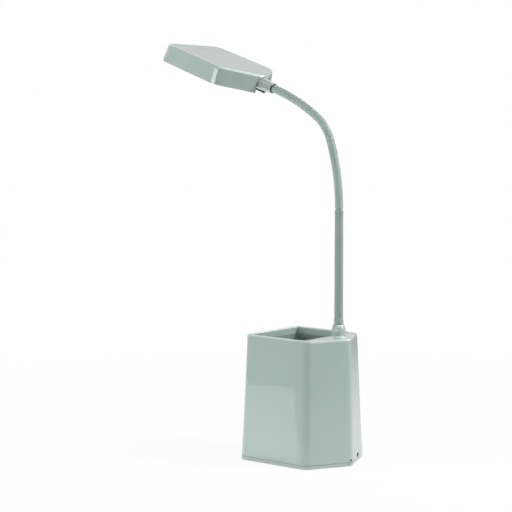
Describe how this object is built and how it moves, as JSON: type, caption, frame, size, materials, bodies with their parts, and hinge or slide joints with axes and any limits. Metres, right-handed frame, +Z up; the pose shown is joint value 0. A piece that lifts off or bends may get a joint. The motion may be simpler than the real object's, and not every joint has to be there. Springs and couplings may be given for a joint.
{
  "type": "desk lamp with pen cup base",
  "caption": "Desk lamp with a house-shaped head on a bending gooseneck over a tapered pen cup base with a charging socket.",
  "frame": {"origin": "middle of the foot's side-to-side and front-to-back size without its nose, on the surface the lamp stands on", "axes": "+Z up; +Y towards the base's nose, where the neck stands; the head reaches out over -Y"},
  "size_m": [0.0924, 0.2153, 0.4094],
  "materials": {
    "shell_plastic": "glossy",
    "pad_rubber": "matte",
    "screw_steel": "satin",
    "weight_iron": "rough",
    "tray_plastic": "matte",
    "cell_wrap": "satin",
    "contact_metal": "satin",
    "board": "satin",
    "chip": "satin",
    "light_guide": "glossy",
    "lead": "satin",
    "tube_paint": "satin",
    "nut_steel": "satin",
    "hose_rubber": "satin",
    "hose_steel": "satin",
    "collar_plastic": "glossy",
    "washer_plastic": "matte",
    "diffuser": "satin",
    "led": "glossy"
  },
  "bodies": {
    "base": {"base_shell": "shell_plastic", "pen_cup": "shell_plastic", "bottom_cover": "shell_plastic", "grip_pad": "pad_rubber", "cover_screws": "screw_steel", "counterweight": "weight_iron", "battery_tray": "tray_plastic", "battery_cell": "cell_wrap", "battery_contacts": "contact_metal", "main_board": "board", "board_screws": "screw_steel", "board_chips": "chip", "usb_socket": "contact_metal", "usb_tongue": "tray_plastic", "charge_light": "light_guide", "base_leads": "lead", "neck_tube": "tube_paint", "neck_foot_ring": "tube_paint", "neck_washer": "nut_steel", "neck_nut": "nut_steel", "hose_ring": "tube_paint", "hose_skin_1": "hose_rubber", "hose_core_1": "hose_steel"},
    "neck_2": {"hose_skin_2": "hose_rubber", "hose_core_2": "hose_steel"},
    "neck_3": {"hose_skin_3": "hose_rubber", "hose_core_3": "hose_steel"},
    "neck_4": {"hose_skin_4": "hose_rubber", "hose_core_4": "hose_steel"},
    "neck_5": {"hose_skin_5": "hose_rubber", "hose_core_5": "hose_steel"},
    "neck_6": {"hose_skin_6": "hose_rubber", "hose_core_6": "hose_steel"},
    "collar": {"hose_skin_7": "hose_rubber", "hose_core_7": "hose_steel", "collar": "collar_plastic", "collar_seal": "pad_rubber"},
    "head": {"pivot_pin": "nut_steel", "tilt_washers": "washer_plastic", "tilt_bracket": "nut_steel", "bracket_screw": "screw_steel", "head_shell": "shell_plastic", "slot_liners": "pad_rubber", "head_bezel": "shell_plastic", "diffuser": "diffuser", "led_board": "board", "leds": "led", "bezel_screws": "screw_steel", "led_board_screws": "screw_steel", "touch_disc": "contact_metal", "touch_board": "board", "touch_spring": "contact_metal"}
  },
  "joints": [
    {"name": "neck_sway_low", "type": "hinge", "parent": "base", "child": "neck_2", "pos_m": [0, 0.04614, 0.26774], "axis": [0, 0.9967, 0.0814], "range_deg": [-25, 25]},
    {"name": "neck_bend_low", "type": "hinge", "parent": "neck_2", "child": "neck_3", "pos_m": [0, 0.04242, 0.29303], "axis": [1, 0, 0], "range_deg": [-25, 25]},
    {"name": "neck_bend_middle", "type": "hinge", "parent": "neck_3", "child": "neck_4", "pos_m": [0, 0.03548, 0.31763], "axis": [1, 0, 0], "range_deg": [-25, 25]},
    {"name": "neck_sway_high", "type": "hinge", "parent": "neck_4", "child": "neck_5", "pos_m": [0, 0.02898, 0.32967], "axis": [0, 0.7956, 0.6058], "range_deg": [-25, 25]},
    {"name": "neck_bend_high", "type": "hinge", "parent": "neck_5", "child": "neck_6", "pos_m": [0, 0.0191, 0.33914], "axis": [1, 0, 0], "range_deg": [-25, 25]},
    {"name": "neck_bend_top", "type": "hinge", "parent": "neck_6", "child": "collar", "pos_m": [0, -0.00543, 0.35364], "axis": [1, 0, 0], "range_deg": [-25, 25]},
    {"name": "head_tilt", "type": "hinge", "parent": "collar", "child": "head", "pos_m": [0, -0.06195, 0.37391], "axis": [0.9985, 0.0167, 0.0524], "range_deg": [0, 40]}
  ]
}
